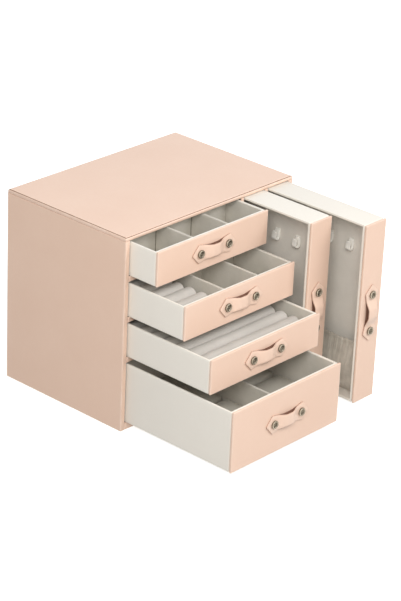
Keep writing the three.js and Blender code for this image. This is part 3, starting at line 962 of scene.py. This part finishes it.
def ring_rolls(node, body, seed):
    """Foam rolls covered in velvet, side by side on a base board, with strips of painted shade in the
    gaps between them.
    """
    low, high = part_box(node)
    rng = np.random.default_rng(seed)
    first, last = low.y + ROLL_MARGIN, high.y - ROLL_MARGIN
    count = round((last - first) / ROLL_PITCH)
    pitch = (last - first) / count
    radius = pitch / 2
    spring = high.z - radius
    base_top = low.z + ROLL_PAD_BASE
    depth = spring - base_top + ROLL_PAD_SINK
    left, right = low.x + ROLL_END_GAP, high.x - ROLL_END_GAP
    straight_stations = max(4, int((right - left) / ROLL_STATION))
    shell = Shell()
    rounded_box(shell, low, (high.x, high.y, base_top), ROLL_PAD_ROUND)

    def turn(p):
        return (p[2], p[0], p[1])

    for index in range(count):
        centre = first + pitch * (index + 0.5)
        start = left + rng.uniform(-ROLL_END_SPREAD, ROLL_END_SPREAD)
        end = right + rng.uniform(-ROLL_END_SPREAD, ROLL_END_SPREAD)
        phase = rng.uniform(0, 2 * math.pi, 3)
        rings = []
        for x, size in roll_stations(start, end, straight_stations):
            slow = 0.14 * MM * math.sin(x / (17 * MM) + phase[0])
            wave = slow + 0.08 * MM * math.sin(x / (6 * MM) + phase[1])
            swell = size * (radius - ROLL_CLEARANCE + wave)
            around = []
            for step in range(ROLL_SIDES):
                across, up = roll_section(2 * math.pi * step / ROLL_SIDES, swell, depth * size)
                around.append((centre + across, spring + up - 0.15 * MM + wave * 0.5, x))
            rings.append(around)
        plain_loft(shell, rings, turn)
    # Dark strips of painted shade in the gaps between the rolls.
    for index in range(1, count):
        y = first + pitch * index
        groove_low = (left + ROLL_GROOVE_INSET, y - ROLL_GROOVE / 2, base_top - 0.5 * MM)
        groove_high = (right - ROLL_GROOVE_INSET, y + ROLL_GROOVE / 2, spring + 0.3 * radius)
        rounded_box(shell, groove_low, groove_high, ROLL_GROOVE_ROUND, slot=1)
    # The rolls take the darker copy of the velvet: painted shade.
    piece = shell.build(f"{node}_velvet", [ROLL_VELVET_PAINTED_DARKER, PAINTED_CREASE_SHADE], merge=FINE_MERGE)
    return settle(piece, body, "grey_velvet", node)


ring_rolls("ring_rolls_2", "drawer_2", 2)
ring_rolls("ring_rolls_3", "drawer_3", 3)

# ---- Cushions -------------------------------------------------------------------------------

CUSHION_START = 1.0 * MM
CUSHION_ROUND = 3 * MM
CUSHION_CAP = 2.4 * MM
CUSHION_VOXEL = 3.6 * MM
CUSHION_FRAMES = 20
CUSHION_PRESSURE = 3
CUSHION_STRETCH = 25
CUSHION_BEND = 0.6
SEAM_WIDTH = 1.6 * MM
SEAM_DEPTH = 1.1 * MM
SEAM_PUCKER = 1.5 * MM


def inflate(piece):
    """Cloth under pressure turns the block into a stuffed cushion. The mesh keeps the result."""
    start = np.array([v.co for v in piece.data.vertices])
    cloth = piece.modifiers.new("fill", "CLOTH")
    settings = cloth.settings
    settings.use_pressure = True
    settings.uniform_pressure_force = CUSHION_PRESSURE
    settings.effector_weights.gravity = 0
    settings.tension_stiffness = CUSHION_STRETCH
    settings.compression_stiffness = CUSHION_STRETCH
    settings.bending_stiffness = CUSHION_BEND
    scene = bpy.context.scene
    for number in range(1, CUSHION_FRAMES + 1):
        scene.frame_set(number)
    evaluated = piece.evaluated_get(bpy.context.evaluated_depsgraph_get())
    end = np.array([v.co for v in evaluated.data.vertices])
    piece.modifiers.remove(cloth)
    scene.frame_set(1)
    move = end - start
    far = np.linalg.norm(move, axis=1, keepdims=True)
    move *= np.minimum(1, CUSHION_CAP / np.maximum(far, 1e-9))
    piece.data.vertices.foreach_set("co", (start + move).ravel())
    piece.data.update()


def fit_into(piece, low, high):
    """Scales the piece's points to fill the box."""
    co = np.array([v.co for v in piece.data.vertices])
    lowest, highest = co.min(0), co.max(0)
    co = (co - lowest) / (highest - lowest) * (np.array(high) - np.array(low)) + np.array(low)
    piece.data.vertices.foreach_set("co", co.ravel())
    piece.data.update()


def cushion_block():
    """One plain cushion block, remeshed and filled, standing where the front left cushion is."""
    low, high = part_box("cushion_4_front_left")
    shrink = Vector((CUSHION_START,) * 3)
    shell = rounded_box(Shell(), low + shrink, high - shrink, CUSHION_ROUND, CUSHION_ROUND)
    # The cushions take the darker copy of the velvet: painted shade.
    block = shell.build("cushion_block", [CUSHION_VELVET_PAINTED_DARKER])
    remesh = block.modifiers.new("even", "REMESH")
    remesh.mode = "VOXEL"
    remesh.voxel_size = CUSHION_VOXEL
    apply_modifier(block, remesh)
    inflate(block)
    smooth = block.modifiers.new("round", "SUBSURF")
    smooth.levels = 1
    apply_modifier(block, smooth)
    return block


def sew_seam(piece, low, high):
    """Draws the cover in along a seam halfway up the side, with small puckers."""
    middle = (low.z + high.z) / 2
    centre = (low + high) / 2
    for vertex in piece.data.vertices:
        co = vertex.co
        near = math.exp(-((co.z - middle) / SEAM_WIDTH) ** 2)
        out = Vector((co.x - centre.x, co.y - centre.y, 0))
        pucker = 0.75 + 0.25 * math.sin((co.x - co.y) / SEAM_PUCKER)
        if out.length > 0:
            vertex.co = co - out.normalized() * near * pucker * SEAM_DEPTH


def cushions():
    """The four loose cushions: copies of one filled block, mirrored towards the four corners."""
    block = cushion_block()
    for row, turn_y in (("front", 1), ("rear", -1)):
        for column, turn_x in (("left", 1), ("right", -1)):
            node = f"cushion_4_{row}_{column}"
            low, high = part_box(node)
            mesh = block.data.copy()
            piece = bpy.data.objects.new(f"{node}_velvet", mesh)
            bpy.context.collection.objects.link(piece)
            if turn_x * turn_y < 0:
                mesh.flip_normals()
            for vertex in mesh.vertices:
                vertex.co = Vector((turn_x * vertex.co.x, turn_y * vertex.co.y, vertex.co.z))
            fit_into(piece, low, high)
            sew_seam(piece, low, high)
            mesh.polygons.foreach_set("use_smooth", [True] * len(mesh.polygons))
            settle(piece, "drawer_4", "grey_velvet", node)
    bpy.data.objects.remove(block)


cushions()

# ---- Hooks and pockets ----------------------------------------------------------------------


HOOK_SIDES = 16
HOOK_THICKNESS = 1.5 * MM
HOOK_PLATE = 1.0 * MM
HOOK_PLATE_START = 2.4 * MM
HOOK_PLATE_ROUND = 0.45 * MM
HOOK_TOP_DROP = 1.7 * MM
HOOK_BOW = 0.5 * MM
HOOK_TIP_LEAN = 0.9 * MM
HOOK_TIP_SIZES = (0.35, 0.72, 0.92)


def sweep(shell, path, sizes, width, thickness, turn):
    """A flat section with round edges, carried along a path in the X-Z plane."""
    rings = []
    for i, (x, z) in enumerate(path):
        before = path[max(0, i - 1)]
        after = path[min(len(path) - 1, i + 1)]
        along = Vector((after[0] - before[0], after[1] - before[1])).normalized()
        normal = Vector((-along.y, along.x))
        around = []
        for step in range(HOOK_SIDES):
            angle = 2 * math.pi * step / HOOK_SIDES
            across = width / 2 * sizes[i] * rounded_power(math.cos(angle), 0.35)
            out = thickness / 2 * rounded_power(math.sin(angle), 0.6)
            around.append((x + normal.x * out, across, z + normal.y * out))
        rings.append(around)
    return plain_loft(shell, rings, turn)


def hook(node, body):
    """A moulded necklace hook: a back plate, a curl at its foot and a broad round-topped tongue."""
    low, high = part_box(node)
    middle = (low.y + high.y) / 2
    width = high.y - low.y
    thick = HOOK_THICKNESS
    bend = (high.x - low.x - thick) / 2
    shell = Shell()
    plate_low = (high.x - HOOK_PLATE, middle - width / 2, low.z + HOOK_PLATE_START)
    plate_high = (high.x, middle + width / 2, high.z)
    rounded_box(shell, plate_low, plate_high, HOOK_PLATE_ROUND, 1 * MM)
    back = high.x - thick / 2 - 0.3 * MM
    foot = low.z + bend + thick / 2
    path = [(back, high.z - 2 * MM), (back, (high.z + foot) / 2), (back, foot)]
    for angle in arc(8, 0, math.pi)[1:]:
        path.append((back - bend + bend * math.cos(angle), foot - bend * math.sin(angle)))
    tip = path[-1][0]
    rise = high.z - HOOK_TOP_DROP - foot
    for share in arc(9, 0, 1)[1:]:
        bow = HOOK_BOW * math.sin(math.pi * share)
        lean = bow - HOOK_TIP_LEAN * max(0, share - 0.6) ** 1.5
        path.append((tip + lean, foot + rise * share))
    sizes = [1.0] * len(path)
    for i, size in enumerate(HOOK_TIP_SIZES):
        sizes[-1 - i] = size

    def turn(p):
        return (p[0], middle + p[1], p[2])

    sweep(shell, path, sizes, width, thick, turn)
    piece = shell.build(f"{node}_moulded", [PLASTIC], merge=FINE_MERGE)
    return settle(piece, body, "ivory_plastic", node)


POCKET_FOOT = 9 * MM
POCKET_TUCK = 4 * MM
POCKET_LEAN = 5 * MM
POCKET_BELLY = 1.6 * MM
POCKET_START = 1.2 * MM
POCKET_ROWS = 40
POCKET_COLUMNS = 330
POCKET_THICKNESS = 0.5 * MM
POCKET_TOP_ROOM = 0.8 * MM
SMALL_PLEAT = 3.2 * MM
LARGE_PLEAT = 8.3 * MM
BROAD_FOLD = 31 * MM
HEM_PLACE = 0.955
HEM_ROLL = 0.8 * MM
HEM_DROOP = 0.8 * MM


def pocket_face(share, height):
    """Distance of the smooth face behind the pocket's furthest point, from its foot to its hem."""
    z = share * height
    tuck = POCKET_TUCK * max(0.0, 1 - z / POCKET_FOOT) ** 2
    lean = POCKET_LEAN * max(0.0, z - POCKET_FOOT) / (height - POCKET_FOOT)
    return tuck + lean - POCKET_BELLY * math.sin(math.pi * min(1, share / 0.93)) ** 1.5


def pleat_wave(y, pitch, drift, bend, bend_length, phase):
    """A wave of pleats at one pitch, bent along y so that no two of them are alike."""
    return math.sin(2 * math.pi * (y / pitch + drift) + bend * math.sin(y / bend_length + phase))


def pocket_pleats(y, share, phase):
    """How far the cloth stands off its smooth face: small pleats at the hem, that join below."""
    gather = math.exp(-(1 - share) / 0.3)
    foot = math.exp(-(share / 0.16) ** 2)
    open_cloth = (1 - math.exp(-((1 - share) / 0.13) ** 2)) * (1 - 0.75 * foot)
    drift = 0.5 * (1 - share) * math.sin(y / (19 * MM) + phase)
    small = pleat_wave(y, SMALL_PLEAT, drift, 1.5, 4.7 * MM, phase)
    large = pleat_wave(y, LARGE_PLEAT, 2.2 * drift, 1.9, 11 * MM, phase)
    broad = math.sin(2 * math.pi * (y / BROAD_FOLD + 0.7 * (1 - share)) + phase)
    return MM * (0.8 * gather * small + (0.3 + 0.6 * gather) * large + 0.95 * open_cloth * broad)


def pocket_point(y, share, low, high, phase):
    """One point of the pocket: the smooth face, its pleats, the rolled hem and the hem's droop."""
    height = high.z - low.z
    run = y - low.y
    edge = min(max(run, 0), max(high.y - y, 0))
    held = (0.3 + 0.8 * (run / (high.y - low.y)) ** 2) * (1 - math.exp(-(edge / (3 * MM)) ** 2))
    face = low.x + POCKET_START + pocket_face(share, height)
    pleats = pocket_pleats(run, share, phase) * held
    roll = HEM_ROLL * math.exp(-((share - HEM_PLACE) / 0.03) ** 2)
    droop = HEM_DROOP * math.sin(2 * math.pi * run / BROAD_FOLD + phase) * share ** 3 * held
    return (face + pleats - roll, y, low.z + (height - POCKET_TOP_ROOM) * share + droop)


def pocket(node, body, phase):
    """A gathered pocket: drawn in along an elastic hem at the top, fuller in its lower half."""
    low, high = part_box(node)
    columns = np.linspace(low.y - 0.5 * MM, high.y + 0.5 * MM, POCKET_COLUMNS)
    points, faces = [], []
    for row in range(POCKET_ROWS + 1):
        points += [pocket_point(y, row / POCKET_ROWS, low, high, phase) for y in columns]
    for i in range(POCKET_ROWS):
        for j in range(POCKET_COLUMNS - 1):
            k = i * POCKET_COLUMNS + j
            faces.append([k, k + 1, k + POCKET_COLUMNS + 1, k + POCKET_COLUMNS])
    piece = Shell().add(points, faces).build(f"{node}_gathered", [POCKET_CLOTH])
    thickness = piece.modifiers.new("cloth", "SOLIDIFY")
    thickness.thickness = POCKET_THICKNESS
    thickness.offset = 0
    apply_modifier(piece, thickness)
    return settle(piece, body, "grey_velvet", node)


for index in TALL_CASES:
    body = f"tall_drawer_{index}"
    for order in (1, 2, 3):
        hook(f"hook_tall_{index}_{order}", body)
    pocket(f"pocket_tall_{index}", body, 0.7 + 1.9 * index)

# ---- Floor, light and camera ----------------------------------------------------------------


LIGHT_MIDDLE = Vector((0, -0.08, 0.1))
WORLD_STRENGTH = 0.41
# Name, azimuth and elevation in degrees, distance and size in metres, strength, tint.
AREA_LIGHTS = (
    ("left", -48, 35, 1.6, 0.7, 0.52, (1.0, 0.985, 0.96)),
    ("key", 25, 40, 2.0, 1.0, 0.44, (1.0, 1.0, 1.01)),
    ("back", 135, 28, 2.0, 1.2, 0.17, (0.94, 1.0, 1.07)),
)
FLOOR_REACH = 6.0
FLOOR_GLOW = 0.6


def add_floor():
    """A plain pale floor that glows a little. Diffuse rays miss it, so it throws no light up."""
    mesh = bpy.data.meshes.new("floor")
    reach = FLOOR_REACH
    corners = [(-reach, -reach, 0), (reach, -reach, 0), (reach, reach, 0), (-reach, reach, 0)]
    mesh.from_pydata(corners, [], [(0, 1, 2, 3)])
    floor = bpy.data.objects.new("floor", mesh)
    bpy.context.collection.objects.link(floor)
    n = Nodes("floor_paper")
    tone = n.mix(n.noise(3, 2), colour(0.93, 0.93, 0.93), colour(0.95, 0.95, 0.95))
    n.shade(
        Base_Color=tone,
        Roughness=0.9,
        Emission_Color=colour(1, 1, 1),
        Emission_Strength=FLOOR_GLOW,
    )
    mesh.materials.append(n.material)
    floor.visible_diffuse = False


def direction(azimuth, elevation):
    """The unit vector towards a place seen at this azimuth and elevation, in degrees."""
    a, e = math.radians(azimuth), math.radians(elevation)
    return Vector((math.sin(a) * math.cos(e), -math.cos(a) * math.cos(e), math.sin(e)))


def add_area_light(name, azimuth, elevation, distance, size, strength, tint):
    """A square soft light. strength is the light it gives a surface that faces it: white is 1."""
    data = bpy.data.lights.new(name, "AREA")
    data.shape = "SQUARE"
    data.size = size
    data.energy = strength * math.pi ** 2 * distance ** 2
    data.color = tint
    light = bpy.data.objects.new(name, data)
    bpy.context.collection.objects.link(light)
    towards = direction(azimuth, elevation)
    light.location = LIGHT_MIDDLE + towards * distance
    light.rotation_mode = "QUATERNION"
    light.rotation_quaternion = (-towards).to_track_quat("-Z", "Y")


def add_light():
    world = bpy.data.worlds.new("studio")
    bpy.context.scene.world = world
    world.use_nodes = True
    background = world.node_tree.nodes["Background"]
    background.inputs["Color"].default_value = colour(1.0, 0.99, 0.98)
    background.inputs["Strength"].default_value = WORLD_STRENGTH
    for name, azimuth, elevation, distance, size, strength, tint in AREA_LIGHTS:
        add_area_light(name, azimuth, elevation, distance, size, strength, tint)


def set_view_transform():
    settings = bpy.context.scene.view_settings
    settings.view_transform = "Standard"
    settings.look = "None"
    settings.exposure = 0
    settings.gamma = 1


add_floor()
add_light()
set_view_transform()
add_camera()
